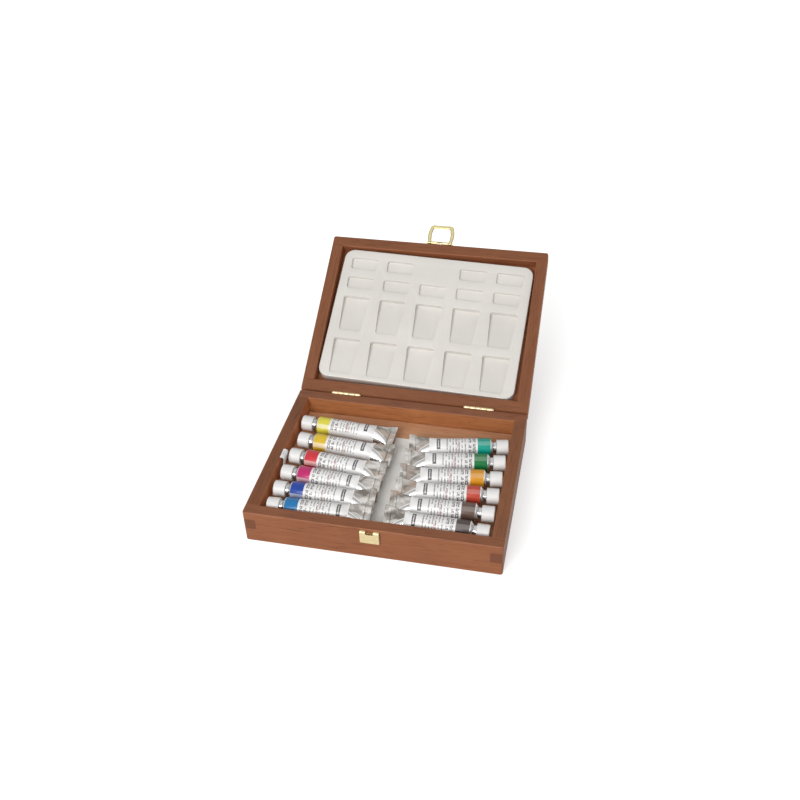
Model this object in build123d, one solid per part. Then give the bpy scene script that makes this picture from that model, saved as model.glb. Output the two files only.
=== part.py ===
from build123d import *
import os
from math import asin, atan, cos, degrees, radians

# Wooden box for watercolour paints: twelve filled tubes lie on a lift-out floor in the base, and a
# moulded palette lies in the lid. Millimetres, +X to the right along the front, +Y to the hinges,
# +Z up, origin at the centre of the underside. The lid pieces are drawn shut and then swung open.

# Case
width = 245.0
depth = 192.0
wall = 12.0
base_height = 36.0
lid_height = 17.5
seam_gap = 0.2
panel_thickness = 4.5
panel_rebate = 6.0
panel_clearance = 0.1
corner_radius = 2.5
edge_chamfer = 0.6
finger_height = 12.0
finger_rise = 15.5
open_angle = 149.4

# Hinges
hinge_length = 30.0
hinge_spread = 143.0
knuckle_count = 5
knuckle_radius = 2.0
knuckle_gap = 0.15
pin_radius = 0.8
pin_clearance = 0.1
pin_head = 0.6
pin_to_back = 0.85
leaf_thickness = 1.2
leaf_width = 7.6
leaf_gap = 0.1
leaf_start = 2.3
knuckle_wrap = 3.0
wood_clearance = 0.2
screw_radius = 0.9
screw_head_radius = 1.7
screw_length = 6.0
flush_head_depth = 0.7
screw_head_rise = 0.8
screw_slot = 0.7
nail_radius = 0.6
nail_head_radius = 1.3

# Latch
latch_plate_width = 27.0
latch_plate_height = 12.0
latch_sheet = 0.9
latch_knuckle_radius = 1.9
latch_knuckle_half = 9.8
latch_axis_rise = 2.2
latch_axis_out = 2.3
latch_notch_radius = 3.6
latch_screw_spread = 18.0
loop_reach = 23.0
loop_root_half = 13.8
loop_middle_half = 15.0
loop_end_half = 13.0
loop_bar = 3.0
loop_slack = 2.6
loop_thickness = 1.6
loop_corner = 3.6
loop_inner_corner = 1.0
loop_clearance = 0.3
keeper_width = 18.0
keeper_height = 13.6
keeper_stand_off = 3.0
keeper_corner = 0.6
keeper_notch_width = 7.4
keeper_notch_depth = 5.4
keeper_nail_spread = 11.0

# Lift-out floor, white liner and pull tab
floor_top = 18.0
floor_thickness = 3.0
floor_clearance = 0.5
runner_width = 7.0
liner_thickness = 0.8
liner_half_width = 27.0
liner_step = 12.0
tab_width = 13.0
tab_thickness = 0.6
tab_top = 38.2
tab_from_front = 73.0
tab_to_wall = 1.0
liner_to_back = 28.0
liner_to_front = 1.0
liner_neck_half = 8.5

# Palette
palette_side_gap = 2.5
palette_end_gap = 3.405
palette_depth = 10.0
palette_sheet = 1.8
palette_corner = 12.0
palette_draft = 4.0
palette_turn = -1.4
palette_margin = 9.9
palette_top_margin = 11.1
palette_low_margin = 5.85
column_gap = 10.8
row_gap = 10.35
big_well_narrowing = 6.4
big_well_deep = 6.0
big_well_shallow = 1.6
small_well_narrowing = 1.4
small_well_length = 14.0
small_well_depth = 3.0
well_corner = 2.6

# Tubes: distances run along a tube from the flat end of its cap
tube_radius = 9.3
tube_to_middle = 10.5
cap_length = 12.0
cap_radius = 7.8
cap_rounding = 1.1
cap_bore_depth = 8.0
neck_radius = 4.0
neck_clearance = 0.2
collar_radius = 6.0
collar_length = 2.9
shoulder_length = 3.2
round_length = 64.0
crimp_length = 6.0
crimp_thickness = 1.7
crimp_half_width = 13.6
rest_clearance = 0.05

# Where each tube lies: its cap's end from the side wall, its cap and its tail from the front wall,
# and how far its flat tail leans
left_tubes = (
    (3.5, 135.0, 127.5, 8.0),
    (7.5, 108.2, 99.0, 18.0),
    (6.1, 83.0, 72.0, 28.0),
    (5.3, 57.7, 50.8, 31.0),
    (4.9, 34.1, 31.6, 32.0),
    (5.5, 10.6, 12.6, 33.0),
)
right_tubes = (
    (1.9, 133.5, 115.5, 28.0),
    (1.6, 109.2, 94.0, 27.0),
    (1.6, 85.2, 71.4, 32.0),
    (1.3, 61.0, 52.0, 31.0),
    (2.3, 36.5, 32.0, 33.0),
    (3.5, 11.8, 12.6, 33.0),
)

# Worked out from the sizes above
bevel = (180.0 - open_angle) / 2
leaf_face = leaf_gap + leaf_thickness
pin_y = depth / 2 - pin_to_back
pin_z = base_height + seam_gap / 2
rim_back = pin_y - leaf_face / cos(radians(bevel))
inner_back = rim_back - wall
inner_front = -depth / 2 + wall
inner_half = width / 2 - wall
inner_middle = (inner_back + inner_front) / 2
lid_bottom = base_height + seam_gap
latch_y = -depth / 2 - latch_axis_out
latch_z = lid_bottom + latch_axis_rise
floor_bottom = floor_top - floor_thickness
tab_y = inner_front + tab_from_front
palette_width = 2 * (inner_half - palette_side_gap)
palette_height = inner_back - inner_front - 2 * palette_end_gap
well_pitch = (palette_width - 2 * palette_margin + column_gap) / 5
well_top = well_pitch - column_gap
wells_high = palette_height / 2 - palette_top_margin
wells_low = palette_low_margin - palette_height / 2
big_well_length = (wells_high - wells_low - 3 * row_gap - 2 * small_well_length) / 2
big_well_rows = (
    wells_low + 1.5 * big_well_length + row_gap,
    wells_low + 0.5 * big_well_length,
)
small_well_rows = (
    wells_high - 0.5 * small_well_length,
    wells_high - 1.5 * small_well_length - row_gap,
)
tube_length = inner_half - tube_to_middle


def block(x, y, z):
    """A box from three (low, high) pairs."""
    spans = (x, y, z)
    size = [high - low for low, high in spans]
    centre = [(high + low) / 2 for low, high in spans]
    return Pos(*centre) * Box(*size)


def rod(x, y, z, radius):
    """A round bar along X between the two x values, about the line through y and z."""
    low, high = x
    return Pos((low + high) / 2, y, z) * Rot(0, 90, 0) * Cylinder(radius, high - low)


def swung_open(piece):
    """A lid piece drawn shut, turned about the hinge pins to where the opened lid rests."""
    return Pos(0, pin_y, pin_z) * Rot(-open_angle, 0, 0) * Pos(0, -pin_y, -pin_z) * piece


def about_pin(side, piece):
    """A piece drawn with its flat face on local XZ, laid along the bevel below or above the pin."""
    return Pos(0, pin_y, pin_z) * Rot(-side * bevel, 0, 0) * piece


def write(name, piece):
    piece.label = name
    export_step(piece, f"parts/{name}.step")


# Case: four boards joined by fingers round a panel let into a rebate


def case_ring(low, high, rim):
    """The four walls of a half as one ring, with its rim edges eased and its back edge bevelled."""
    ring = block((-width / 2, width / 2), (-depth / 2, depth / 2), (low, high))
    ring = fillet(ring.edges().filter_by(Axis.Z), corner_radius)
    ring -= block((-inner_half, inner_half), (inner_front, inner_back), (low - 1, high + 1))
    ring = chamfer(ring.edges().group_by(Axis.Z)[-1] + ring.edges().group_by(Axis.Z)[0], edge_chamfer)
    side = -1 if rim == "top" else 1
    reach = block((-width, width), (-leaf_face, depth), (-depth, depth))
    ring -= about_pin(side, reach)
    for x in (-hinge_spread / 2, hinge_spread / 2):
        half = hinge_length / 2 + wood_clearance
        ring -= rod((x - half, x + half), pin_y, pin_z, knuckle_radius + wood_clearance)
    return ring


def case_half(low, high, rim, finger_low):
    """The boards and the panel of a half box. The side boards' fingers come through front and back."""
    ring = case_ring(low, high, rim)
    panel_low, panel_high = (low, low + panel_thickness)
    if rim == "bottom":
        panel_low, panel_high = (high - panel_thickness, high)
    half_x = inner_half + panel_rebate
    near = inner_front - panel_rebate
    far = inner_back + panel_rebate
    gap = panel_clearance
    seat = block((-half_x, half_x), (near, far), (panel_low - gap, panel_high + gap))
    panel = block((-half_x + gap, half_x - gap), (near + gap, far - gap), (panel_low, panel_high))
    ring -= seat
    finger = (finger_low, finger_low + finger_height)
    full = (low - 1, high + 1)
    fingers = []
    sides = []
    for sign in (-1, 1):
        span = sorted((sign * inner_half, sign * width))
        fingers.append(block(span, (-depth, depth), finger))
        sides.append(block(span, (inner_front, inner_back), full) + fingers[-1])
    ends = fingers[0] + fingers[1]
    boards = {
        "front_wall": ring & (block((-width, width), (-depth, inner_front), full) - ends),
        "back_wall": ring & (block((-width, width), (inner_back, depth), full) - ends),
        "left_wall": ring & sides[0],
        "right_wall": ring & sides[1],
    }
    return boards, panel


def base_case():
    boards, panel = case_half(0, base_height, "top", finger_rise)
    for name, board in boards.items():
        write(f"base_{name}", board - fixing_holes("base"))
    write("base_bottom_panel", panel)
    runners = []
    for sign in (-1, 1):
        span = sorted((sign * inner_half, sign * (inner_half - runner_width)))
        runners.append(block(span, (inner_front, inner_back), (panel_thickness, floor_bottom)))
    write("floor_runners", Compound(children=runners))


def lid_case():
    top = lid_bottom + lid_height
    boards, panel = case_half(lid_bottom, top, "bottom", lid_bottom + finger_rise - finger_height)
    for name, board in boards.items():
        write(f"lid_{name}", swung_open(board - fixing_holes("lid")))
    write("lid_top_panel", swung_open(panel))


# Screws and nails, each a head on a plain shank that fills its hole


def screw(head_radius, shank_radius, length):
    """A round-headed screw, its head's flat underside at the origin and its shank along -Z."""
    rise = screw_head_rise
    ball = (head_radius**2 + rise**2) / (2 * rise)
    head = Pos(0, 0, rise - ball) * Sphere(ball)
    head &= Pos(0, 0, rise / 2) * Cylinder(head_radius, rise)
    head -= Pos(0, 0, rise) * Box(head_radius * 2, 0.5, screw_slot)
    return head + Pos(0, 0, -length / 2) * Cylinder(shank_radius, length)


def leaf_screw_places(side):
    """Where the two screws of each leaf sit, along the bevel below or above the pin."""
    for x in (-hinge_spread / 2, hinge_spread / 2):
        for along in (-hinge_length / 3, hinge_length / 3):
            down = side * (leaf_width + knuckle_radius) / 2
            place = Pos(x + along, 0, down) * Pos(0, -leaf_gap - flush_head_depth, 0) * Rot(-90, 0, 0)
            yield Pos(0, pin_y, pin_z) * Rot(-side * bevel, 0, 0) * place


def latch_screw_places():
    for x in (-latch_screw_spread / 2, latch_screw_spread / 2):
        z = lid_bottom + latch_axis_rise + latch_plate_height - 3.2
        yield Pos(x, -depth / 2 - latch_sheet, z) * Rot(90, 0, 0)


def keeper_nail_places():
    for x in (-keeper_nail_spread / 2, keeper_nail_spread / 2):
        yield Pos(x, -depth / 2 - latch_sheet, keeper_bottom() + 5.2) * Rot(90, 0, 0)


def flush_screw():
    """A countersunk screw, its slotted flat top at the origin."""
    depth_down = flush_head_depth
    cone = Pos(0, 0, -depth_down / 2) * Cone(screw_radius, screw_head_radius, depth_down)
    head = cone - Box(screw_head_radius * 2, 0.45, 0.5)
    return head + Pos(0, 0, -depth_down - screw_length / 2) * Cylinder(screw_radius, screw_length)


def latch_screw():
    return screw(screw_head_radius, screw_radius, screw_length)


def keeper_nail():
    return screw(nail_head_radius, nail_radius, screw_length)


def fixing_holes(half):
    """The holes in a half's boards, from the same screws that stand in them."""
    side = -1 if half == "base" else 1
    holes = [place * flush_screw() for place in leaf_screw_places(side)]
    if half == "base":
        holes += [place * keeper_nail() for place in keeper_nail_places()]
    else:
        holes += [place * latch_screw() for place in latch_screw_places()]
    return Compound(children=holes)


# Hinges: two leaves on the bevelled back edges, which meet and stop the lid


def hinge_leaf(side, mine):
    """One leaf of a hinge, centred on x = 0, with the knuckles whose numbers are in mine."""
    step = hinge_length / knuckle_count
    plate = block((-hinge_length / 2, hinge_length / 2), (-leaf_face, -leaf_gap), (leaf_start, leaf_width))
    barrels = []
    for n in mine:
        low = -hinge_length / 2 + n * step + knuckle_gap / 2
        span = (low, low + step - knuckle_gap)
        plate += block(span, (-leaf_face, -leaf_gap), (0, knuckle_wrap))
        barrels.append(rod(span, 0, 0, knuckle_radius))
    leaf = plate + barrels
    leaf = leaf if side > 0 else mirror(leaf, about=Plane.XY)
    bore = pin_radius + (pin_clearance if side > 0 else 0)
    leaf -= rod((-hinge_length, hinge_length), 0, 0, bore)
    return Pos(0, pin_y, pin_z) * Rot(-side * bevel, 0, 0) * leaf


def hinges():
    places = {"left": -hinge_spread / 2, "right": hinge_spread / 2}
    base_screws = Compound(children=[place * flush_screw() for place in leaf_screw_places(-1)])
    lid_screws = Compound(children=[place * flush_screw() for place in leaf_screw_places(1)])
    evens = range(0, knuckle_count, 2)
    odds = range(1, knuckle_count, 2)
    for name, x in places.items():
        write(f"{name}_hinge_base_leaf", Pos(x, 0, 0) * hinge_leaf(-1, evens) - base_screws)
        write(f"{name}_hinge_lid_leaf", swung_open(Pos(x, 0, 0) * hinge_leaf(1, odds) - lid_screws))
        half = hinge_length / 2
        pin = rod((x - half, x + half), pin_y, pin_z, pin_radius)
        for end in (x - half - pin_head / 2, x + half + pin_head / 2):
            pin += rod((end - pin_head / 2, end + pin_head / 2), pin_y, pin_z, pin_radius * 1.5)
        write(f"{name}_hinge_pin", pin)
    write("base_hinge_screws", base_screws)
    write("lid_hinge_screws", swung_open(lid_screws))


# Latch: a plate with a knuckle, a loop that swings on it, and a keeper that the loop snaps round


def latch_plate():
    """The sheet on the lid's front, curled round the pivot at its lower edge and notched there."""
    half = latch_plate_width / 2
    face = -depth / 2
    z = (latch_z, latch_z + latch_plate_height)
    plate = block((-half, half), (face - latch_sheet, face), z)
    plate = fillet(plate.edges().filter_by(Axis.Y).group_by(Axis.Z)[-1], 3.0)
    span = (-latch_knuckle_half, latch_knuckle_half)
    low = block((-width, -latch_knuckle_half), (-depth, 0), (0, latch_z + loop_eye_radius() + 0.4))
    plate -= low + mirror(low, about=Plane.YZ)
    knuckle = rod(span, latch_y, latch_z, latch_knuckle_radius)
    bridge = block(span, (latch_y, face), (latch_z, latch_z + latch_knuckle_radius))
    body = plate + knuckle + bridge
    body -= Pos(0, face, latch_z) * Cylinder(latch_notch_radius, 2 * latch_knuckle_radius + 0.2)
    body -= rod((-half, half), latch_y, latch_z, pin_radius)
    screws = Compound(children=[place * latch_screw() for place in latch_screw_places()])
    write("latch_plate", swung_open(body - screws))
    write("latch_screws", swung_open(screws))


def loop_eye_radius():
    return pin_radius + 0.9


def loop_outline(inset, corner):
    """The loop's outline from the pivot outwards, with bowed sides and a rounded far end."""
    root = loop_root_half - inset
    end = loop_end_half - inset
    low = inset - loop_reach
    bow = (loop_middle_half - inset, -loop_reach / 2)
    right = ThreePointArc((root, 0), bow, (end, low))
    left = ThreePointArc((-end, low), (-bow[0], bow[1]), (-root, 0))
    face = make_face([Line((-root, 0), (root, 0)), right, Line((end, low), (-end, low)), left])
    return fillet(face.vertices().group_by(Axis.Y)[0], corner)


def latch_loop():
    """The stamped loop, straight out from the lid's front, with an eye on each side of the knuckle."""
    outer = loop_outline(0, loop_corner)
    inner = loop_outline(loop_bar, loop_inner_corner)
    frame = extrude(outer, loop_thickness / 2, both=True)
    frame -= extrude(inner, loop_thickness, both=True)
    frame = chamfer(frame.edges().group_by(Axis.Z)[-1] + frame.edges().group_by(Axis.Z)[0], 0.3)
    body = Pos(0, latch_y, latch_z) * frame
    room = latch_knuckle_radius + loop_clearance
    half = latch_knuckle_half + loop_clearance
    body -= rod((-half, half), latch_y, latch_z, room)
    for sign in (-1, 1):
        span = sorted((sign * half, sign * loop_root_half))
        body += rod(span, latch_y, latch_z, loop_eye_radius())
    body -= rod((-width, width), latch_y, latch_z, pin_radius + pin_clearance)
    write("latch_loop", swung_open(body))
    half_pin = loop_root_half + 3 * knuckle_gap + pin_head
    pin = rod((-half_pin, half_pin), latch_y, latch_z, pin_radius)
    for sign in (-1, 1):
        span = sorted((sign * (half_pin - pin_head), sign * half_pin))
        pin += rod(span, latch_y, latch_z, pin_radius * 1.5)
    write("latch_pin", swung_open(pin))


def keeper_bottom():
    """The loop's free bar, hanging, passes under the keeper with a little slack."""
    return latch_z - loop_reach + loop_bar + loop_slack


def keeper():
    """A sheet folded over at its top, so that its front lip stands off the wood."""
    face = -depth / 2
    low = keeper_bottom()
    high = low + keeper_height
    half = keeper_width / 2
    outer = block((-half, half), (face - keeper_stand_off, face), (low, high))
    outer = fillet(outer.edges().filter_by(Axis.X).group_by(Axis.Z)[-1].sort_by(Axis.Y)[:1], 1.2)
    hollow = block(
        (-width, width),
        (face - keeper_stand_off + latch_sheet, face - latch_sheet),
        (low - 1, high - latch_sheet),
    )
    outer = fillet(outer.edges().filter_by(Axis.Y).group_by(Axis.Z)[0], keeper_corner)
    notch_half = keeper_notch_width / 2
    notch = block(
        (-notch_half, notch_half),
        (face - keeper_stand_off - 1, face + 1),
        (high - keeper_notch_depth, high + 1),
    )
    notch = fillet(notch.edges().filter_by(Axis.Y).group_by(Axis.Z)[0], 1.6)
    nails = Compound(children=[place * keeper_nail() for place in keeper_nail_places()])
    write("latch_keeper", outer - hollow - notch - nails)
    write("keeper_nails", nails)


# Lift-out floor with its white liner and pull tab


def lift_out_floor():
    gap = floor_clearance
    board = block(
        (-inner_half + gap, inner_half - gap),
        (inner_front + gap, inner_back - gap),
        (floor_bottom, floor_top),
    )
    board = chamfer(board.edges().group_by(Axis.Z)[-1], 0.4)
    slot_x = -inner_half + gap + tab_to_wall
    slot = block(
        (slot_x, slot_x + tab_thickness),
        (tab_y - tab_width / 2, tab_y + tab_width / 2),
        (0, base_height),
    )
    write("floor_board", board - slot)
    write("pull_tab", pull_tab(slot_x + tab_thickness / 2))


def pull_tab(foot):
    """A strip of card glued in the board's slot, leaning on the wall and folded over at its top."""
    lean = Polyline(
        (foot, floor_bottom),
        (foot, floor_top + 2),
        (foot - 0.8, tab_top - 1.6),
    )
    fold = ThreePointArc(
        (foot - 0.8, tab_top - 1.6),
        (foot, tab_top - tab_thickness / 2),
        (foot + 0.9, tab_top - 1.2),
    )
    leaf = Line((foot + 0.9, tab_top - 1.2), (foot + 2.0, tab_top - 9.0))
    strip = Plane.XZ * trace([lean, fold, leaf], tab_thickness)
    return Pos(0, tab_y, 0) * extrude(strip, tab_width / 2, both=True)


def liner():
    """The white strip between the tube tails, narrow at the back and stepped out towards the front."""
    back = inner_back - liner_to_back
    front = inner_front + liner_to_front
    neck = liner_neck_half
    shoulder = neck + 9.5
    step = liner_step
    wide = liner_half_width
    points = [
        (-neck, back),
        (neck, back),
        (neck, back - step),
        (shoulder, back - step),
        (shoulder, back - 2.5 * step),
        (wide, back - 2.5 * step),
        (wide, front),
        (-wide, front),
        (-wide, back - 2 * step),
        (-shoulder, back - 2 * step),
        (-shoulder, back - step),
        (-neck, back - step),
    ]
    sheet = make_face(Polyline(*points, close=True))
    write("liner_strip", Pos(0, 0, floor_top) * extrude(sheet, liner_thickness))


# Palette: a moulded sheet with a skirt, whose wells hang below its face


def well_outline(top, bottom, length):
    """A well seen from above: its upper edge is the wider one, and its corners are round."""
    upper = [(-top / 2, length / 2), (top / 2, length / 2)]
    lower = [(bottom / 2, -length / 2), (-bottom / 2, -length / 2)]
    face = make_face(Polyline(*upper, *lower, close=True))
    return fillet(face.vertices(), well_corner)


def well_tool(outline, deep, shallow, length, grow):
    """A well's hollow, or with grow the block round it. Its floor rises from the top edge down."""
    face = offset(outline, grow) if grow else outline
    tool = extrude(face, deep + shallow + grow, dir=(0, 0, -1))
    slope = degrees(atan((deep - shallow) / length))
    middle = -(deep + shallow) / 2 - grow
    below = Pos(0, 0, -length) * Box(4 * length, 4 * length, 2 * length)
    return tool - Pos(0, 0, middle) * Rot(-slope, 0, 0) * below


def palette():
    """The palette, its underside's skirt on z = 0 and its wells' wide edges towards +Y."""
    outline = RectangleRounded(palette_width, palette_height, palette_corner)
    body = extrude(outline, palette_depth, taper=palette_draft)
    body = fillet(body.edges().group_by(Axis.Z)[-1], 1.2)
    hollow = offset(outline, -palette_sheet)
    body -= extrude(hollow, palette_depth - palette_sheet, taper=palette_draft)
    big = well_outline(well_top, well_top - big_well_narrowing, big_well_length)
    small = well_outline(well_top, well_top - small_well_narrowing, small_well_length)
    blocks = []
    hollows = []
    for column in range(-2, 3):
        for row in big_well_rows:
            place = Pos(column * well_pitch, row, palette_depth)
            sizes = (big_well_deep, big_well_shallow, big_well_length)
            blocks.append(place * well_tool(big, *sizes, palette_sheet / 2))
            hollows.append(place * well_tool(big, *sizes, 0))
        for row in small_well_rows:
            if column == 0 and row == small_well_rows[0]:
                continue
            place = Pos(column * well_pitch, row, palette_depth)
            sizes = (small_well_depth, small_well_depth, small_well_length)
            blocks.append(place * well_tool(small, *sizes, palette_sheet / 2))
            hollows.append(place * well_tool(small, *sizes, 0))
    body += blocks
    body -= hollows
    recess_floor = lid_bottom + lid_height - panel_thickness
    in_lid = Pos(0, inner_middle, recess_floor) * Rot(180, 0, 0) * Rot(0, 0, palette_turn)
    write("palette", swung_open(in_lid * body))


# Tubes: a threaded neck, a cone, and a round body that flattens to a crimped tail


def tube_body():
    """A filled tube along +X, its cap's end at the origin, with its crimp in the local XY plane."""
    neck = rod((cap_length - cap_bore_depth + 0.4, cap_length + 1), 0, 0, neck_radius)
    collar_start = cap_length + neck_clearance
    collar_end = cap_length + collar_length
    collar = rod((collar_start, collar_end), 0, 0, collar_radius)
    for n in range(2):
        x = collar_start + (n + 0.9) * collar_length / 3
        groove = rod((x - 0.3, x + 0.3), 0, 0, 2 * collar_radius)
        collar -= groove - rod((x - 1, x + 1), 0, 0, collar_radius - 0.6)
    shoulder_end = collar_end + shoulder_length
    cone = Cone(collar_radius - 0.5, tube_radius, shoulder_length)
    shoulder = Pos(collar_end + shoulder_length / 2, 0, 0) * Rot(0, 90, 0) * cone
    barrel = rod((shoulder_end, round_length), 0, 0, tube_radius)
    crimp_start = tube_length - crimp_length
    sections = []
    for share in (0.0, 0.35, 0.7, 1.0):
        x = round_length + share * (crimp_start - round_length)
        thin = tube_radius + (crimp_thickness / 2 - tube_radius) * share**1.15
        wide = tube_radius + (crimp_half_width - tube_radius) * share**0.9
        sections.append(Plane(origin=(x, 0, 0), x_dir=(0, 1, 0), z_dir=(1, 0, 0)) * Ellipse(wide, thin))
    tail = loft(sections)
    half = crimp_half_width
    flat = crimp_thickness / 2
    crimp = block((crimp_start - 0.5, tube_length), (-half, half), (-flat, flat))
    fold = block((tube_length - 3.4, tube_length), (-half, half), (0, flat + 0.7))
    return neck + collar + shoulder + barrel + tail + crimp + fold


def tube_cap():
    """The plain round cap, its flat end at the origin and its bore open towards the tube."""
    cap = rod((0, cap_length), 0, 0, cap_radius)
    cap = fillet(cap.edges().group_by(Axis.X)[0], cap_rounding)
    cap = fillet(cap.edges().group_by(Axis.X)[-1], 0.4)
    bore = (cap_length - cap_bore_depth, cap_length + 1)
    return cap - rod(bore, 0, 0, neck_radius + neck_clearance)


def tube_place(side, from_side, cap_out, tail_out, lean):
    """A tube's place on the floor, from its cap's end to its tail, turned about its own length."""
    turn = degrees(asin((tail_out - cap_out) / tube_length))
    turn = turn if side < 0 else 180 - turn
    height = floor_top + tube_radius + rest_clearance
    x = side * (inner_half - from_side)
    return Pos(x, inner_front + cap_out, height) * Rot(0, 0, turn) * Rot(-side * lean, 0, 0)


def tubes():
    body = tube_body()
    cap = tube_cap()
    number = 0
    for side, column in ((-1, left_tubes), (1, right_tubes)):
        for row in column:
            number += 1
            place = tube_place(side, *row)
            write(f"paint_tube_{number:02d}", place * body)
            write(f"tube_cap_{number:02d}", place * cap)


os.makedirs("parts", exist_ok=True)
base_case()
lid_case()
hinges()
latch_plate()
latch_loop()
keeper()
lift_out_floor()
liner()
palette()
tubes()
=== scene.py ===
import math

import bmesh
import bpy
from mathutils import Matrix, Vector, noise


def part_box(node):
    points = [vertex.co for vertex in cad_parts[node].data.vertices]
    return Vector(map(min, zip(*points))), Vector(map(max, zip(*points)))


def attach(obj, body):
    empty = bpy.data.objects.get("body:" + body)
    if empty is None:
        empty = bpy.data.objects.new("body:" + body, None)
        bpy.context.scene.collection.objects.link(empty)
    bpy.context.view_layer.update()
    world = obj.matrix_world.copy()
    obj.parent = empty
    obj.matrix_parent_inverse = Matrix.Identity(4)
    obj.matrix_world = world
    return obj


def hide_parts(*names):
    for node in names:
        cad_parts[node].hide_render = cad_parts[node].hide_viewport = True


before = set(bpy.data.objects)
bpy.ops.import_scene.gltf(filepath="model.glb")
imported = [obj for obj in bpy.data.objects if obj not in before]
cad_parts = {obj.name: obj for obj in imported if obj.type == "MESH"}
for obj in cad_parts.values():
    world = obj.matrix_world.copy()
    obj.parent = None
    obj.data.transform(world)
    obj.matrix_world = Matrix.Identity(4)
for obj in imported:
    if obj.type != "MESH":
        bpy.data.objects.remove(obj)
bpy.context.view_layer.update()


# Base walls: four boards of fine-pored wood, stained walnut brown and given a satin lacquer.
# The side boards' fingers come through the front and back ones and show dark end grain there.
def shade(red, green, blue):
    """A colour as it looks in a picture, 0 to 255, as the shader wants it."""
    parts = [value / 255 for value in (red, green, blue)]
    return tuple(p / 12.92 if p < 0.04045 else ((p + 0.055) / 1.055) ** 2.4 for p in parts) + (1.0,)


def add(material, kind, sockets=None, **settings):
    """A node of this kind, with its settings and with each input set or linked."""
    made = material.node_tree.nodes.new(kind)
    for name, value in settings.items():
        setattr(made, name, value)
    for name, value in (sockets or {}).items():
        if isinstance(value, bpy.types.NodeSocket):
            material.node_tree.links.new(value, made.inputs[name])
        else:
            made.inputs[name].default_value = value
    return made


def ramp(material, factor, *stops):
    made = add(material, "ShaderNodeValToRGB", {"Fac": factor})
    made.color_ramp.elements[0].position = stops[0][0]
    made.color_ramp.elements[0].color = stops[0][1]
    made.color_ramp.elements[1].position = stops[-1][0]
    made.color_ramp.elements[1].color = stops[-1][1]
    for place, colour in stops[1:-1]:
        made.color_ramp.elements.new(place).color = colour
    return made.outputs["Color"]


def math_node(material, operation, first, second=0.0, third=0.0):
    return add(material, "ShaderNodeMath", {0: first, 1: second, 2: third}, operation=operation).outputs[0]


def noise_node(material, vector, scale, detail=2.0, **more):
    sockets = {"Vector": vector, "Scale": scale, "Detail": detail}
    sockets.update({name.capitalize(): value for name, value in more.items()})
    return add(material, "ShaderNodeTexNoise", sockets).outputs["Fac"]


def blend_colour(material, factor, first, second, how="MIX"):
    sockets = {0: factor, 6: first, 7: second}
    return add(material, "ShaderNodeMix", sockets, data_type="RGBA", blend_type=how).outputs[2]


def new_finish(name, **sockets):
    """A material whose shader has these values, and that shader."""
    material = bpy.data.materials.new(name)
    material.use_nodes = True
    shader = material.node_tree.nodes["Principled BSDF"]
    for socket, value in sockets.items():
        shader.inputs[socket.replace("_", " ")].default_value = value
    return material, shader


def wire(material, source, shader, socket):
    material.node_tree.links.new(source, shader.inputs[socket])


def roughen(material, shader, unevenness, spread, least):
    """Gives the shader a roughness that goes up from its least value with the unevenness."""
    wire(material, math_node(material, "MULTIPLY_ADD", unevenness, spread, least), shader, "Roughness")


def emboss(material, shader, height, strength, distance):
    sockets = {"Height": height, "Strength": strength, "Distance": distance}
    wire(material, add(material, "ShaderNodeBump", sockets).outputs[0], shader, "Normal")


def looks_towards(material, way):
    """How nearly a face looks that way, from -1 to 1."""
    normal = add(material, "ShaderNodeTexCoord").outputs["Normal"]
    return add(
        material, "ShaderNodeVectorMath", {0: normal, 1: way}, operation="DOT_PRODUCT"
    ).outputs["Value"]


def stained_wood(name, dark, middle, light, end_grain, run, turn=0.0, seed=0.0, gloss=0.4, painted_light_tints=()):
    """Stained wood with its grain along X or Y, turned about X with its board, and with a tint for
    each way that a face can look: painted light and shade on the faces that look that way."""
    drawn_out = 0.055
    faces_it = 0.8
    material, shader = new_finish(name, Specular_IOR_Level=0.28)
    place = add(material, "ShaderNodeTexCoord")
    board = {
        "Vector": place.outputs["Object"],
        "Rotation": (turn, 0, 0),
        "Location": (seed, seed * 0.7, seed),
    }
    local = add(material, "ShaderNodeMapping", board).outputs[0]
    facing = add(
        material, "ShaderNodeMapping", {"Vector": place.outputs["Normal"], "Rotation": (turn, 0, 0)}
    ).outputs[0]
    stretch = (drawn_out, 1.0, 1.0) if run == "X" else (1.0, drawn_out, 1.0)
    drawn = add(material, "ShaderNodeMapping", {"Vector": local, "Scale": stretch}).outputs[0]
    streaks = noise_node(material, drawn, 240.0, 5.0, roughness=0.6)
    figure = noise_node(material, local, 17.0, distortion=0.8)
    tone = math_node(material, "MULTIPLY_ADD", streaks, 0.55, math_node(material, "MULTIPLY", figure, 0.45))
    body = ramp(material, tone, (0.32, dark), (0.5, middle), (0.68, light))
    pores = noise_node(material, drawn, 900.0)
    pore = ramp(material, pores, (0.32, (0.7, 0.67, 0.65, 1)), (0.43, (1, 1, 1, 1)))
    body = blend_colour(material, 1.0, body, pore, "MULTIPLY")
    speckle = noise_node(material, local, 1500.0)
    dots = ramp(material, speckle, (0.36, (0.78, 0.72, 0.68, 1)), (0.5, (1, 1, 1, 1)))
    cut = blend_colour(material, 1.0, end_grain, dots, "MULTIPLY")
    # Each tint multiplies the faces that look its way: painted light where it is above 1, painted shade where
    # below.
    for way, tint in painted_light_tints:
        looks = math_node(material, "GREATER_THAN", looks_towards(material, way), faces_it)
        body = blend_colour(material, looks, body, (*tint, 1), "MULTIPLY")
    axis = add(material, "ShaderNodeSeparateXYZ", {0: facing}).outputs[0 if run == "X" else 1]
    is_end = math_node(material, "GREATER_THAN", math_node(material, "ABSOLUTE", axis), faces_it)
    wire(material, blend_colour(material, is_end, body, cut), shader, "Base Color")
    roughen(material, shader, streaks, 0.22, gloss)
    emboss(material, shader, math_node(material, "MULTIPLY_ADD", streaks, 0.6, pores), 0.14, 0.0003)
    return material


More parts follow.
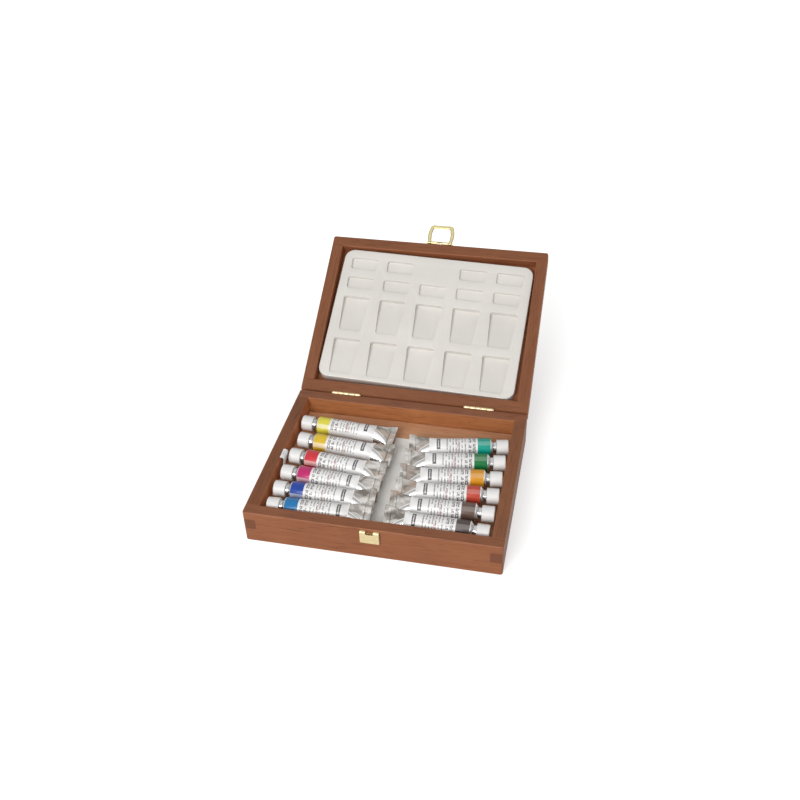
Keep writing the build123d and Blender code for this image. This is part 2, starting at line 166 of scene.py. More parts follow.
def finish_node(name, material):
    """Gives a CAD piece its material."""
    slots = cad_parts[name].material_slots
    if not slots:
        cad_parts[name].data.materials.append(material)
    for slot in slots:
        slot.material = material


walnut_stain = (shade(141, 85, 56), shade(151, 93, 61), shade(160, 101, 68), shade(121, 72, 47))
# Each board's rims, inner face and outer face are multiplied by their own tint: painted shade where it is
# below 1 and painted light where above, for how the lamps fall on each face.
for side, run, seed, inwards, rim_painted_shade, inside_painted_light, outer in (
    ("front", "X", 0.0, (0, 1, 0), (0.76, 0.77, 0.78), (1.3, 1.4, 1.15), 0.96),
    ("back", "X", 0.17, (0, -1, 0), (0.8, 0.84, 0.88), (1.3, 1.42, 1.2), 1.0),
    ("left", "Y", 0.31, (1, 0, 0), (0.63, 0.6, 0.5), (1.75, 1.85, 1.8), 1.0),
    ("right", "Y", 0.39, (-1, 0, 0), (0.74, 0.77, 0.74), (1.3, 1.45, 1.4), 0.66),
):
    outwards = tuple(-part for part in inwards)
    outer_painted_shade = (outer, outer, outer * 0.97)
    painted_light_tints = (((0, 0, 1), rim_painted_shade), (inwards, inside_painted_light), (outwards, outer_painted_shade))
    board_finish = stained_wood(f"stained_{side}_board", *walnut_stain, run, seed=seed, painted_light_tints=painted_light_tints)
    finish_node(f"base_{side}_wall", board_finish)


# Bottom panel and runners: thin plywood let into the walls' rebate from below, and two strips
# glued along the sides that carry the lift-out floor.
panel_stain = (shade(136, 84, 54), shade(153, 97, 64), shade(167, 110, 75), shade(120, 74, 50))
panel_finish = stained_wood("stained_panel", *panel_stain, "X", seed=0.73, gloss=0.45)
finish_node("base_bottom_panel", panel_finish)
finish_node("floor_runners", panel_finish)


# Lid: four boards like the base's, and a thin panel in their rebate. Their grain is turned with
# the lid, which stands open past the hinges, and their rims, the faces that look lid_level, are
# darkened as painted shade.
open_lid = math.radians(149.4)
lid_level = (0, -math.sin(open_lid), -math.cos(open_lid))
lid_rim_painted_shade = ((lid_level, (0.71, 0.73, 0.72)),)
for run, seed, sides in (("X", 0.47, ("front", "back")), ("Y", 0.59, ("left", "right"))):
    board_finish = stained_wood(
        f"lid_boards_along_{run.lower()}", *walnut_stain, run, turn=open_lid, seed=seed, painted_light_tints=lid_rim_painted_shade
    )
    for side in sides:
        finish_node(f"lid_{side}_wall", board_finish)
lid_panel = stained_wood("lid_panel_wood", *panel_stain, "X", turn=open_lid, seed=0.91, gloss=0.45)
finish_node("lid_top_panel", lid_panel)


# Hinges: two stamped butt hinges of pale brass, rolled knuckles on a pin, each leaf held by two
# slotted screws. Their brass carries painted shade where the knuckles slope off from the front.
def round_over(shape, edges, offset, steps, clamp=False):
    bmesh.ops.bevel(
        shape,
        geom=edges,
        offset=offset,
        offset_type="OFFSET",
        affect="EDGES",
        segments=steps,
        profile=0.5,
        material=-1,
        clamp_overlap=clamp,
    )


def softened(name, node, body, material, rounding, steps=2, sharpest=24):
    """A CAD piece again, merged and with its sharp edges rounded over, in the CAD piece's place."""
    shape = bmesh.new()
    shape.from_mesh(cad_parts[node].data)
    bmesh.ops.remove_doubles(shape, verts=shape.verts, dist=2e-6)
    bmesh.ops.dissolve_limit(
        shape, angle_limit=math.radians(0.6), verts=shape.verts, edges=shape.edges, delimit={"NORMAL"}
    )
    limit = math.radians(sharpest)
    sharp = [e for e in shape.edges if e.is_manifold and e.calc_face_angle(0) > limit]
    round_over(shape, sharp, rounding, steps, clamp=True)
    return as_piece(name, shape, body, [material], node)


def in_fixed_order(shape):
    """Sorts the corners and faces by where they are. Blender's tools that draw a shape out or make
    it solid give them in another order each run."""
    for parts, place in (
        (shape.verts, lambda corner: tuple(corner.co)),
        (shape.faces, lambda face: tuple(face.calc_center_median())),
    ):
        rank = {part: n for n, part in enumerate(sorted(parts, key=place))}
        parts.sort(key=lambda part: rank[part])


def as_piece(name, shape, body, materials, stands_for):
    """The bmesh as a named object that rides on its body, in place of the CAD piece named."""
    mesh = bpy.data.meshes.new(name)
    shape.to_mesh(mesh)
    shape.free()
    mesh.shade_smooth()
    mesh.set_sharp_from_angle(angle=math.radians(38))
    piece = bpy.data.objects.new(name, mesh)
    bpy.context.scene.collection.objects.link(piece)
    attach(piece, body)
    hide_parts(stands_for)
    for material in materials:
        mesh.materials.append(material)
    return piece


def brushed_metal(name, dark, light, rough, level=None, painted_shade_stops=()):
    """Metal, a little uneven in colour and gloss, and darker where it slopes off level: painted shade."""
    material, shader = new_finish(name, Metallic=1.0)
    place = add(material, "ShaderNodeTexCoord").outputs["Object"]
    cloud = noise_node(material, place, 420.0, 4.0)
    body = ramp(material, cloud, (0.3, dark), (0.7, light))
    if level:
        rise = math_node(material, "ABSOLUTE", looks_towards(material, level))
        slope_shade = ramp(material, rise, *painted_shade_stops, (0.99, (1, 1, 1, 1)))
        body = blend_colour(material, 1.0, body, slope_shade, "MULTIPLY")
    wire(material, body, shader, "Base Color")
    roughen(material, shader, cloud, 0.12, rough)
    emboss(material, shader, cloud, 0.06, 0.0002)
    return material


brass = brushed_metal("pale_brass_plate", shade(206, 190, 146), shade(220, 206, 164), 0.36)
hinge_level = (0, -0.72, 0.69)
hinge_painted_shade = ((0.3, (0.46, 0.42, 0.35, 1)), (0.88, (0.74, 0.7, 0.63, 1)))
hinge_brass = brushed_metal(
    "hinge_brass", shade(212, 188, 150), shade(225, 204, 168), 0.36, level=hinge_level, painted_shade_stops=hinge_painted_shade
)
for side in ("left", "right"):
    for leaf in ("base", "lid"):
        node = f"{side}_hinge_{leaf}_leaf"
        softened(f"{side}_{leaf}_leaf_rounded", node, leaf, hinge_brass, 0.00012)
    finish_node(f"{side}_hinge_pin", hinge_brass)
finish_node("base_hinge_screws", brass)
finish_node("lid_hinge_screws", brass)


# Latch: a pale brass plate with a half-round notch, curled round a pin, a stamped loop that swings
# on it, and on the base a folded keeper that the loop's bar goes under. The keeper's notch is made
# shallower than in the CAD.
notch_half = 0.0039
notch_foot = (0.028, 0.0315)
notch_raised = 0.0022
softened("latch_plate_rounded", "latch_plate", "lid", brass, 0.0002, 4)
keeper = softened("latch_keeper_rounded", "latch_keeper", "base", brass, 0.0002, 4)
for v in keeper.data.vertices:
    if abs(v.co.x) < notch_half and notch_foot[0] < v.co.z < notch_foot[1]:
        v.co.z += notch_raised
loop_lies = math.pi - open_lid
loop_along = Vector((0, math.cos(loop_lies), math.sin(loop_lies)))
loop_level = Vector((0, -math.sin(loop_lies), math.cos(loop_lies)))
pivot = sum((Vector(corner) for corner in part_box("latch_pin")), Vector()) / 2
bar_sides = 20
bar_half_thick = 0.0008
corner_radius = 0.0026
# The right half of the bar's path: to the side, along the loop, and half the bar's width there
half_path = [
    (0.0117, -0.0004, 0.0016), (0.0119, 0.002, 0.0018), (0.0124, 0.005, 0.002),
    (0.0127, 0.008, 0.0021), (0.0128, 0.011, 0.0021), (0.0124, 0.0145, 0.0021),
]
for n in range(7):
    turn = math.radians(15 * n)
    corner = (0.0089 + corner_radius * math.cos(turn), 0.0183 + corner_radius * math.sin(turn), 0.0021)
    half_path.append(corner)
half_path.append((0.0045, 0.0208, 0.002))
path = half_path + [(0.0, 0.0207, 0.00195)] + [(-x, s, half) for x, s, half in reversed(half_path)]
loop = bmesh.new()
hoops = []
for n, (x, s, half) in enumerate(path):
    before, after = path[max(n - 1, 0)], path[min(n + 1, len(path) - 1)]
    heading = Vector((after[0] - before[0], after[1] - before[1])).normalized()
    outwards = Vector((heading.y, 0, 0)) - loop_along * heading.x
    middle = pivot + Vector((x, 0, 0)) + loop_along * s
    hoop = []
    for k in range(bar_sides):
        angle = 2 * math.pi * k / bar_sides
        side_on = middle + outwards * half * math.cos(angle)
        hoop.append(loop.verts.new(side_on + loop_level * bar_half_thick * math.sin(angle)))
    hoops.append(hoop)
for low, high in zip(hoops, hoops[1:]):
    for k in range(bar_sides):
        loop.faces.new((low[k - 1], low[k], high[k], high[k - 1]))
loop.faces.new(hoops[0])
loop.faces.new(hoops[-1])
eye_radius = 0.0016
eye_out = 0.01185
across_the_pin = Matrix.Rotation(math.radians(90), 4, "Y")
for side in (-1, 1):
    place = Matrix.Translation(pivot + Vector((side * eye_out, 0, 0))) @ across_the_pin
    eye = bmesh.ops.create_cone(
        loop, cap_ends=True, segments=32, radius1=eye_radius, radius2=eye_radius, depth=0.0034, matrix=place
    )["verts"]
    rim = [e for e in loop.edges if e.verts[0] in eye and e.calc_face_angle(0) > 1]
    round_over(loop, rim, 0.0003, 3)
bmesh.ops.recalc_face_normals(loop, faces=loop.faces)
# The loop's brass is darkened to olive where it slopes off the loop's plane: painted shade along its edges.
loop_painted_shade = ((0.6, (0.3, 0.28, 0.17, 1)), (0.92, (0.62, 0.6, 0.46, 1)))
loop_brass = brushed_metal(
    "loop_brass", shade(208, 194, 140), shade(228, 215, 166), 0.24, level=loop_level, painted_shade_stops=loop_painted_shade
)
as_piece("stamped_loop", loop, "latch_loop", [loop_brass], "latch_loop")
for node in ("latch_screws", "latch_pin", "keeper_nails"):
    finish_node(node, brass)


# Lift-out floor: a thin board of lighter brown wood that lies on the runners, with a slot for the
# tab it is lifted by.
floor_stain = (shade(186, 134, 98), shade(200, 148, 112), shade(212, 162, 124), shade(150, 104, 74))
finish_node("floor_board", stained_wood("floor_wood", *floor_stain, "X", seed=1.3, gloss=0.42))


# Liner strip: milky plastic sheet that lies on the floor under the tubes' tails. It is cut in
# steps, and is widest at the front.
def moulded_plastic(name, colour, tint, rough, grain=420.0, strength=0.08, level=None, **more):
    """Plain moulded plastic with faint clouding and a fine skin, and painted shade, greyer, where it slopes
    off level.
    """
    material, shader = new_finish(name, **more)
    place = add(material, "ShaderNodeTexCoord").outputs["Object"]
    cloud = noise_node(material, place, 22.0, 3.0)
    body = ramp(material, cloud, (0.35, tint), (0.65, colour))
    if level:
        rise = looks_towards(material, level)
        slope_shade = ramp(material, rise, (0.5, (0.92, 0.92, 0.92, 1)), (0.96, (1, 1, 1, 1)))
        body = blend_colour(material, 1.0, body, slope_shade, "MULTIPLY")
    wire(material, body, shader, "Base Color")
    skin = noise_node(material, place, grain, 4.0)
    roughen(material, shader, skin, 0.14, rough)
    emboss(material, shader, skin, strength, 0.0003)
    return material


milky_sheet = moulded_plastic("milky_sheet", shade(250, 248, 243), shade(244, 242, 237), 0.4)
finish_node("liner_strip", milky_sheet)


# Pull tab: a strip of white card glued into the floor board's slot beside the left wall. It leans
# over to the caps, bends back to the wall at its top and has a short slit there.
tab_bend = (
    (-0.1096, 0.0153), (-0.1095, 0.0190), (-0.1089, 0.0225), (-0.1080, 0.0262), (-0.1070, 0.0298),
    (-0.1062, 0.0328), (-0.1058, 0.0350), (-0.1060, 0.0364), (-0.1066, 0.0373), (-0.1074, 0.0377),
    (-0.1079, 0.0378), (-0.1084, 0.0379), (-0.1092, 0.0379), (-0.1101, 0.0378),
)
tab_near = -0.0175
tab_columns = 10
tab_step = 0.0013
slit_row = 10
slit_columns = range(3, 7)
tab = bmesh.new()
stations = [
    [tab.verts.new((x, tab_near + tab_step * n, z)) for n in range(tab_columns + 1)] for x, z in tab_bend
]
for at, (low, high) in enumerate(zip(stations, stations[1:])):
    for n in range(tab_columns):
        if at != slit_row or n not in slit_columns:
            tab.faces.new((low[n], low[n + 1], high[n + 1], high[n]))
bmesh.ops.recalc_face_normals(tab, faces=tab.faces)
bmesh.ops.solidify(tab, geom=list(tab.faces), thickness=0.0005)
in_fixed_order(tab)
card_finish = moulded_plastic("tab_white", shade(240, 240, 241), shade(232, 232, 233), 0.45)
as_piece("folded_tab", tab, "lift_out_floor", [card_finish], "pull_tab")


# Palette: one vacuum-moulded sheet of white plastic with a skirt, nineteen wells with soft edges
# and rounded corners. It lies loose in the lid.
# The palette is greyed where its wells' walls and its skirt slope off the lid's level: painted shade.
palette_white = moulded_plastic(
    "palette_white",
    shade(226, 222, 216),
    shade(220, 216, 210),
    0.3,
    grain=260.0,
    strength=0.05,
    level=lid_level,
    Coat_Weight=0.15,
)
softened("moulded_palette", "palette", "palette", palette_white, 0.0007, 3, 20)


# Paint tubes: soft aluminium, a threaded neck and a cone, a lacquered colour band and a printed
# white wrap, and a bare tail pressed flat and folded over at its end. Lengths run from the cap's
# end, and each row gives the cap's X and Y, the tail's Y, the tube's lean and its band's colour.
cap_end = 0.0122
collar_end = 0.0149
band_start = 0.0181
band_end = 0.031
wrap_end = 0.0795
round_end = 0.071
crimp_start = 0.094
tube_end = 0.1
tube_half = 0.0093
crimp_half = 0.0136
crimp_flat = 0.00085
tube_rest = 0.02735
dents_start = 0.05
crimp_side = 0.356
liner_level = 0.01885
floor_level = 0.01803
liner_reach = 0.0275
left_row = (
    (-0.1070, 0.0510, 0.0435, 8, shade(226, 216, 74)),
    (-0.1030, 0.0242, 0.0150, 18, shade(230, 196, 52)),
    (-0.1044, -0.0010, -0.0120, 28, shade(208, 50, 62)),
    (-0.1052, -0.0263, -0.0332, 31, shade(196, 36, 108)),
    (-0.1056, -0.0499, -0.0524, 32, shade(22, 66, 160)),
    (-0.1050, -0.0734, -0.0714, 33, shade(26, 118, 178)),
)
right_row = (
    (0.1086, 0.0495, 0.0315, 28, shade(16, 160, 142)),
    (0.1089, 0.0252, 0.0100, 27, shade(14, 120, 62)),
    (0.1089, 0.0012, -0.0126, 32, shade(224, 156, 32)),
    (0.1092, -0.0230, -0.0320, 31, shade(196, 72, 54)),
    (0.1082, -0.0475, -0.0520, 33, shade(100, 78, 68)),
    (0.1070, -0.0722, -0.0714, 33, shade(78, 66, 64)),
)


def tail_point(x, angle, front):
    """Where the flattening tail's skin is. Its front cheek stays round and runs to the crimp's front
    corner, and the pressed side lies behind it."""
    share = min(max((x - round_end) / (crimp_start - round_end), 0.0), 1.0)
    share = 1 - math.sqrt(max(1 - share**1.9, 0.0)) * (1 - 0.25 * share)
    round_part = tube_half + (crimp_flat - tube_half) * share
    flat_part = (crimp_half - crimp_flat - 0.0003) * share
    spread = front * min(max((front * math.cos(angle) + 0.62) / 0.16, -1.0), 1.0)
    return Vector((x, round_part * math.cos(angle) + flat_part * spread, round_part * math.sin(angle)))


def tube_shape(seed, front, segments=72):
    """One tube along +X with its cap's end at the origin, its rings drawn out from the neck."""
    shape = bmesh.new()
    wrap = shape.loops.layers.uv.new("wrap")
    rings = [(0.0044, 0.0040), (cap_end, 0.0040), (cap_end, 0.0058), (0.0124, 0.0060)]
    for thread in range(3):
        start = 0.0127 + thread * 0.0008
        rings += [(start, 0.0060), (start + 0.0002, 0.0055)]
        rings += [(start + 0.0005, 0.0055), (start + 0.0007, 0.0060)]
    rings += [(collar_end, 0.0060), (collar_end + 0.0001, 0.0056), (0.0153, 0.0062), (0.0172, 0.0086)]
    rings += [(0.0176, 0.0091), (band_start, tube_half), (band_end, tube_half)]
    rings += [(0.036 + 0.006 * n, tube_half) for n in range(4)]
    near_crimp = [0.0916, 0.0924, 0.0931, 0.0936]
    tail = sorted([0.0605 + 0.0012 * n for n in range(26)] + near_crimp + [wrap_end]) + [crimp_start]
    first = bmesh.ops.create_circle(shape, cap_ends=True, segments=segments, radius=rings[0][1])
    turn = Matrix.Rotation(math.radians(90), 4, "Y")
    start = Matrix.Translation((rings[0][0], 0, 0)) @ turn
    bmesh.ops.transform(shape, verts=first["verts"], matrix=start)
    edge = [e for e in shape.edges if e.is_boundary]
    angles = {v: math.atan2(v.co.z, v.co.y) for v in first["verts"]}
    for x, radius in rings[1:] + [(x, None) for x in tail]:
        drawn = bmesh.ops.extrude_edge_only(shape, edges=edge)["geom"]
        edge = [g for g in drawn if isinstance(g, bmesh.types.BMEdge) and g.is_boundary]
        fresh = {}
        for v in [g for g in drawn if isinstance(g, bmesh.types.BMVert)]:
            old = [e.other_vert(v) for e in v.link_edges if e.other_vert(v) in angles][0]
            fresh[v] = angles[old]
        for v, angle in fresh.items():
            if radius is None:
                v.co = tail_point(x, angle, front)
            else:
                v.co = (x, radius * math.cos(angle), radius * math.sin(angle))
            angles[v] = angle
    bmesh.ops.holes_fill(shape, edges=edge, sides=0)
    round_trip = 2 * math.pi
    spin = {v: math.atan2(math.sin(a), front * math.cos(a)) / round_trip % 1 for v, a in angles.items()}
    for face in shape.faces:
        turns = [spin.get(loop.vert, 0) for loop in face.loops]
        crossed = max(turns) - min(turns) > 0.5
        for loop, at in zip(face.loops, turns):
            loop[wrap].uv = (loop.vert.co.x * 10, at + 1 if crossed and at < 0.5 else at)
        middle = face.calc_center_median().x
        if band_start < middle < band_end:
            face.material_index = 1
        elif band_end < middle < wrap_end:
            face.material_index = 2
    for v in shape.verts:
        if v.co.x > dents_start:
            far = min((v.co.x - dents_start) / 0.03, 1) * min((0.0965 - v.co.x) / 0.008, 1)
            at = Vector((v.co.x * 70, v.co.y * 130, v.co.z * 60)) + Vector((seed * 3.7, seed, 0))
            fold = 0.5 - abs(noise.noise(at * 1.7 + Vector((5, 0, 0))))
            v.co.z -= math.copysign(far * 0.0009 * max(noise.noise(at) + 0.4 * fold, -0.1), v.co.z)
            v.co.y += far * 0.0004 * noise.noise(at + Vector((0, 9, 0)))
    bmesh.ops.recalc_face_normals(shape, faces=shape.faces)
    return shape


def crimp_shape(seed):
    """The flat end of the tube and the bar folded back on it, with slightly uneven edges."""
    shape = bmesh.new()
    wrap = shape.loops.layers.uv.new("wrap")
    for low, high, floor, top in (
        (crimp_start - 0.0008, tube_end - 0.0001, -crimp_flat, crimp_flat),
        (tube_end - 0.0034, tube_end, crimp_flat - 0.0002, crimp_flat + 0.0007),
    ):
        bar = bmesh.ops.create_cube(shape, size=1)["verts"]
        bmesh.ops.scale(shape, vec=(high - low, 2 * crimp_half, top - floor), verts=bar)
        bmesh.ops.translate(shape, vec=((high + low) / 2, 0, (top + floor) / 2), verts=bar)
    across = [e for e in shape.edges if abs(e.verts[0].co.y - e.verts[1].co.y) > 0.02]
    bmesh.ops.subdivide_edges(shape, edges=across, cuts=13, use_grid_fill=True)
    round_over(shape, [e for e in shape.edges if e.calc_face_angle(0) > 1], 0.0002, 2)
    for v in shape.verts:
        wave = noise.noise(Vector((seed * 5.1, v.co.y * 150, v.co.x * 90)))
        v.co.z += 0.00035 * wave
        v.co.x -= 0.0003 * abs(wave) if v.co.x > 0.099 else 0
    for face in shape.faces:
        for loop in face.loops:
            loop[wrap].uv = (loop.vert.co.x * 10, crimp_side)
    return shape


def tube_metal_finish():
    """Bare soft aluminium, its light and shade painted in: painted highlights on the cheeks, painted
    shade on the pressed sides and in their creases, and brownish patches there that are a painted
    reflection of the wood. It is bumped and creased where it folds. The map's V tells the sides apart."""
    material, shader = new_finish("bare_aluminium", Metallic=1.0)
    place = add(material, "ShaderNodeTexCoord")
    split = add(material, "ShaderNodeSeparateXYZ", {0: place.outputs["UV"]})
    side = math_node(material, "COSINE", math_node(material, "MULTIPLY", split.outputs[1], 2 * math.pi))
    side = math_node(material, "MULTIPLY_ADD", side, 0.5, 0.5)
    drawn = add(
        material, "ShaderNodeMapping", {"Vector": place.outputs["Object"], "Scale": (0.5, 1, 1)}
    ).outputs[0]
    creases = noise_node(material, drawn, 120.0, distortion=0.9)
    # The pressed sides: painted shade in the creases and painted highlights on their ridges.
    pressed_painted_light = ramp(
        material,
        creases,
        (0.32, shade(122, 116, 109)),
        (0.47, shade(170, 165, 159)),
        (0.66, shade(212, 209, 205)),
    )
    # The cheeks: painted highlights, with a band of painted shade beside the crease.
    cheek_light_and_shade = ramp(
        material,
        side,
        (0.29, shade(236, 235, 234)),
        (0.36, shade(158, 156, 154)),
        (0.5, shade(204, 203, 202)),
        (0.6, shade(246, 246, 246)),
    )
    # Brownish patches on the pressed sides: a painted reflection of the brown wood around them.
    wide = noise_node(material, drawn, 75.0, 1.0)
    wood_reflection = ramp(material, wide, (0.53, (0, 0, 0, 1)), (0.63, (0.7, 0.7, 0.7, 1)))
    pressed_painted_light = blend_colour(material, wood_reflection, pressed_painted_light, shade(172, 152, 138))
    is_cheek = ramp(material, side, (0.26, (0, 0, 0, 1)), (0.29, (1, 1, 1, 1)))
    is_tail = math_node(material, "GREATER_THAN", split.outputs[0], 0.5)
    bright = blend_colour(material, is_tail, shade(214, 214, 214), cheek_light_and_shade)
    facet = math_node(material, "MULTIPLY", is_tail, math_node(material, "SUBTRACT", 1.0, is_cheek))
    wire(material, blend_colour(material, facet, bright, pressed_painted_light), shader, "Base Color")
    roughen(material, shader, creases, 0.3, 0.08)
    emboss(material, shader, creases, 0.45, 0.0012)
    return material


def colour_band(name, colour, sheen_stripe, sheen_paler):
    """Glossy lacquer in the paint's own colour, a little deeper where it is thicker, and with a painted
    highlight: paler in a stripe along the tube, standing in for a lamp's reflection."""
    material, shader = new_finish(name, Coat_Weight=0.15, Coat_Roughness=0.15, Specular_IOR_Level=0.3)
    place = add(material, "ShaderNodeTexCoord")
    cloud = noise_node(material, place.outputs["Object"], 150.0, 3.0)
    deeper = tuple(c * 0.86 for c in colour[:3]) + (1,)
    lacquer = ramp(material, cloud, (0.35, deeper), (0.65, colour))
    around = add(material, "ShaderNodeSeparateXYZ", {0: place.outputs["UV"]}).outputs[1]
    none, full = (0, 0, 0, 1), (sheen_paler, sheen_paler, sheen_paler, 1)
    low, high = sheen_stripe
    soft = 0.012
    painted_sheen = ramp(material, around, (low - soft, none), (low, full), (high, full), (high + soft, none))
    lacquer = blend_colour(material, painted_sheen, lacquer, shade(252, 250, 244))
    wire(material, lacquer, shader, "Base Color")
    roughen(material, shader, cloud, 0.12, 0.26)
    return material


def printed_wrap():
    """White lacquer with rows of plain fine marks in dark grey, one row in dull red and a dark block.
    Each row has its start, its pitch and its number of lines along the tube, a line's thickness, its
    ends around the tube and how fine its marks are."""
    material, shader = new_finish("printed_white_wrap", Coat_Weight=0.3, Coat_Roughness=0.15)
    place = add(material, "ShaderNodeTexCoord")
    split = add(material, "ShaderNodeSeparateXYZ", {0: place.outputs["UV"]})
    along = math_node(material, "MULTIPLY", split.outputs[0], 100.0)
    around = math_node(material, "MULTIPLY", split.outputs[1], 58.0)
    ink = red_ink = 0.0
    block_border = 2.0
    for start, pitch, rows, thick, low, high, cells, kind in (
        (33.2, 4.2, 2, 2.9, 5.0, 25.0, 0.7, "large"),
        (43.0, 3.0, 7, 1.2, 5.0, 24.0, 1.3, "small"),
        (50.4, 9.0, 1, 1.2, 5.0, 20.0, 1.3, "red"),
        (68.4, 4.0, 1, 3.7, 9.5, 22.5, 1.2, "block"),
    ):
        step = math_node(material, "SUBTRACT", along, start)
        row = math_node(material, "DIVIDE", step, pitch)
        in_row = math_node(material, "FRACT", row)
        inside = math_node(material, "COMPARE", row, rows / 2, rows / 2)
        line = math_node(material, "LESS_THAN", in_row, thick / pitch)
        fine = {n: math_node(material, "MULTIPLY", way, cells) for n, way in enumerate((step, around))}
        lane = add(material, "ShaderNodeCombineXYZ", fine).outputs[0]
        marks = math_node(material, "GREATER_THAN", noise_node(material, lane, 1.3, 1.0), 0.48)
        centre = (low + high) / 2
        half = (high - low) / 2
        reach = math_node(material, "COMPARE", around, centre, half)
        if kind == "block":
            core = math_node(material, "COMPARE", in_row, 0.5 * thick / pitch, 0.17 * thick / pitch)
            middle = math_node(material, "COMPARE", around, centre, half - block_border)
            light = math_node(material, "MULTIPLY", math_node(material, "MULTIPLY", core, middle), marks)
            parts = (line, math_node(material, "SUBTRACT", 1.0, light), reach)
        else:
            coarse = {
                0: math_node(material, "MULTIPLY", math_node(material, "FLOOR", row), 7.3),
                1: math_node(material, "MULTIPLY", around, 0.35),
            }
            words = add(material, "ShaderNodeCombineXYZ", coarse).outputs[0]
            gaps = math_node(material, "GREATER_THAN", noise_node(material, words, 1.0, 0.0), 0.39)
            parts = (line, marks, gaps, reach)
        for part in parts:
            inside = math_node(material, "MULTIPLY", inside, part)
        if kind == "red":
            red_ink = inside
        else:
            ink = math_node(material, "MAXIMUM", ink, inside)
    cloud = noise_node(material, place.outputs["Object"], 90.0, 3.0)
    white = ramp(material, cloud, (0.35, shade(226, 225, 223)), (0.65, shade(236, 235, 234)))
    colour = blend_colour(material, math_node(material, "MULTIPLY", ink, 0.95), white, shade(48, 44, 46))
    colour = blend_colour(material, math_node(material, "MULTIPLY", red_ink, 0.8), colour, shade(190, 96, 92))
    wire(material, colour, shader, "Base Color")
    roughen(material, shader, cloud, 0.12, 0.3)
    return material


aluminium = tube_metal_finish()
wrap_print = printed_wrap()
number = 0
# Each side gives where around the tube its bands carry the painted highlight, and how much paler it makes
# them.
for row, side, sheen_stripe, sheen_paler in (
    (left_row, 1, (0.085, 0.16), 0.42),
    (right_row, -1, (0.23, 0.3), 0.13),
):
    for x, cap_y, tail_y, lean, colour in row:
        number += 1
        name = f"{number:02d}"
        turn = math.asin((tail_y - cap_y) / tube_end)
        turn = turn if x < 0 else math.pi - turn
        place = Matrix.Translation((x, cap_y, tube_rest)) @ Matrix.Rotation(turn, 4, "Z")
        place = place @ Matrix.Rotation(math.radians(side * lean), 4, "X")
        tube = tube_shape(number, -side)
        crimp = crimp_shape(number)
        joined = bpy.data.meshes.new("crimp")
        crimp.to_mesh(joined)
        crimp.free()
        tube.from_mesh(joined)
        bpy.data.meshes.remove(joined)
        bmesh.ops.transform(tube, verts=tube.verts, matrix=place)
        for v in tube.verts:
            v.co.z = max(v.co.z, liner_level if abs(v.co.x) < liner_reach else floor_level)
        in_fixed_order(tube)
        finishes = [aluminium, colour_band(f"band_{name}", colour, sheen_stripe, sheen_paler), wrap_print]
        as_piece(f"tube_{name}_filled", tube, f"tube_{name}", finishes, f"paint_tube_{name}")


# Caps: plain white moulded screw caps with a softly rounded edge, in the shape that the CAD gives
# them.
cap_white = moulded_plastic(
    "cap_white", shade(232, 231, 229), shade(224, 223, 221), 0.3, grain=500.0, strength=0.06
)
for number in range(1, 13):
    finish_node(f"tube_cap_{number:02d}", cap_white)


# Studio: a white floor that keeps the box's soft shadow, even white surroundings, large soft lamps
# from the front, and the camera where the photographer's stood.
def seen_or_mirrored(material):
    """1 where the camera looks at it, straight or in a mirror or glass."""
    rays = add(material, "ShaderNodeLightPath").outputs
    seen = math_node(material, "MAXIMUM", rays["Is Camera Ray"], rays["Is Glossy Ray"])
    return math_node(material, "MAXIMUM", seen, rays["Is Transmission Ray"])


floor_shape = bmesh.new()
bmesh.ops.create_grid(floor_shape, x_segments=1, y_segments=1, size=6)
floor_mesh = bpy.data.meshes.new("studio_floor")
floor_shape.to_mesh(floor_mesh)
floor_shape.free()
floor = bpy.data.objects.new("studio_floor", floor_mesh)
bpy.context.scene.collection.objects.link(floor)
floor_white, shader = new_finish("studio_white", Base_Color=(0.8, 0.8, 0.8, 1), Roughness=1.0)
shader.inputs["Specular IOR Level"].default_value = 0.0
spot = add(floor_white, "ShaderNodeTexCoord").outputs["Object"]
away = add(floor_white, "ShaderNodeVectorMath", {0: spot}, operation="LENGTH").outputs["Value"]
shadow_ends, white_starts = 0.2, 0.9
glow_by_the_box, glow_far_off = 0.52, 1.0
fade = {"Value": away, 1: shadow_ends, 2: white_starts, 3: glow_by_the_box, 4: glow_far_off}
strength = add(floor_white, "ShaderNodeMapRange", fade).outputs[0]
glow = add(floor_white, "ShaderNodeEmission", {"Color": (1, 1, 1, 1), "Strength": strength})
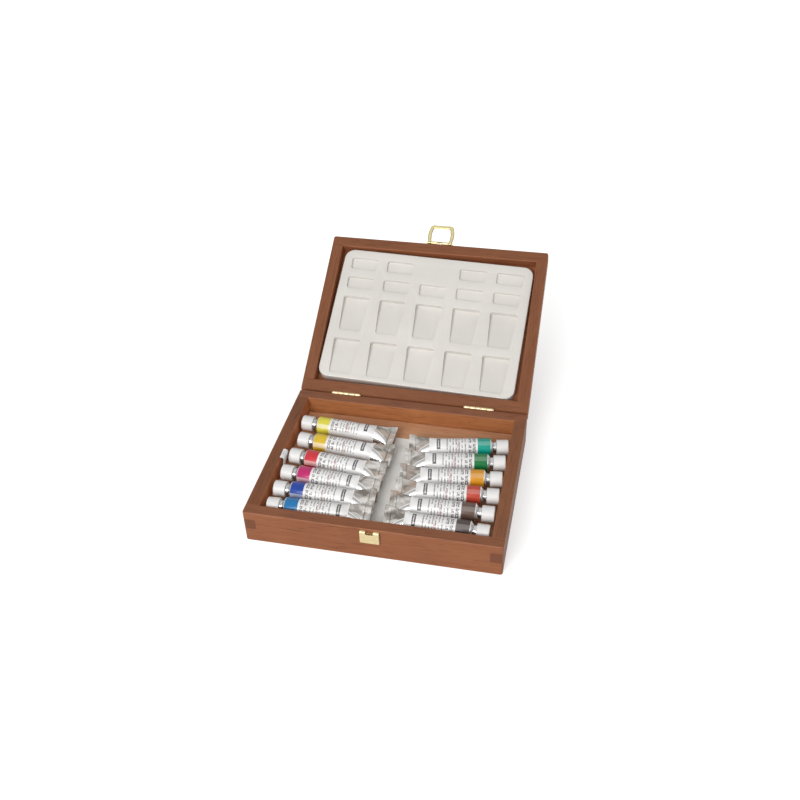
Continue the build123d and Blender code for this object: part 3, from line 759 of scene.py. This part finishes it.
lifted = add(floor_white, "ShaderNodeAddShader", {0: shader.outputs[0], 1: glow.outputs[0]})
pale = add(floor_white, "ShaderNodeBsdfDiffuse", {"Color": (0.5, 0.5, 0.5, 1)})
choice = {0: seen_or_mirrored(floor_white), 1: pale.outputs[0], 2: lifted.outputs[0]}
chosen = add(floor_white, "ShaderNodeMixShader", choice)
output = floor_white.node_tree.nodes["Material Output"]
floor_white.node_tree.links.new(chosen.outputs[0], output.inputs["Surface"])
floor_mesh.materials.append(floor_white)

world = bpy.data.worlds.new("studio")
bpy.context.scene.world = world
world.use_nodes = True
ambient = add(world, "ShaderNodeBackground", {"Color": (1, 1, 1, 1), "Strength": 0.4})
white = add(world, "ShaderNodeBackground", {"Color": (1, 1, 1, 1), "Strength": 1.0})
choice = {0: seen_or_mirrored(world), 1: ambient.outputs[0], 2: white.outputs[0]}
sky = add(world, "ShaderNodeMixShader", choice)
world.node_tree.links.new(sky.outputs[0], world.node_tree.nodes["World Output"].inputs["Surface"])

lamps_aim_at = Vector((0, 0.05, 0.03))
for name, stand, size, power in (
    ("front_lamp", (-0.5, -1.85, 1.25), 1.3, 37.0),
    ("right_lamp", (1.7, -0.9, 1.2), 1.2, 4.5),
):
    lamp = bpy.data.lights.new(name, "AREA")
    lamp.shape = "DISK"
    lamp.size = size
    lamp.energy = power
    holder = bpy.data.objects.new(name, lamp)
    holder.location = stand
    holder.rotation_euler = (lamps_aim_at - Vector(stand)).to_track_quat("-Z", "Y").to_euler()
    bpy.context.scene.collection.objects.link(holder)

camera_data = bpy.data.cameras.new("photo_camera")
camera_data.lens = 43.7
camera_data.sensor_width = 36.0
camera = bpy.data.objects.new("photo_camera", camera_data)
right = Vector((0.97726, 0.21022, -0.02789))
up = Vector((-0.10865, 0.60931, 0.78546))
back = right.cross(up)
place = Matrix.Translation((0.17492, -0.69249, 0.67290))
camera.matrix_world = place @ Matrix((right, up, back)).transposed().to_4x4()
bpy.context.scene.collection.objects.link(camera)
bpy.context.scene.camera = camera
bpy.context.scene.view_settings.view_transform = "Standard"
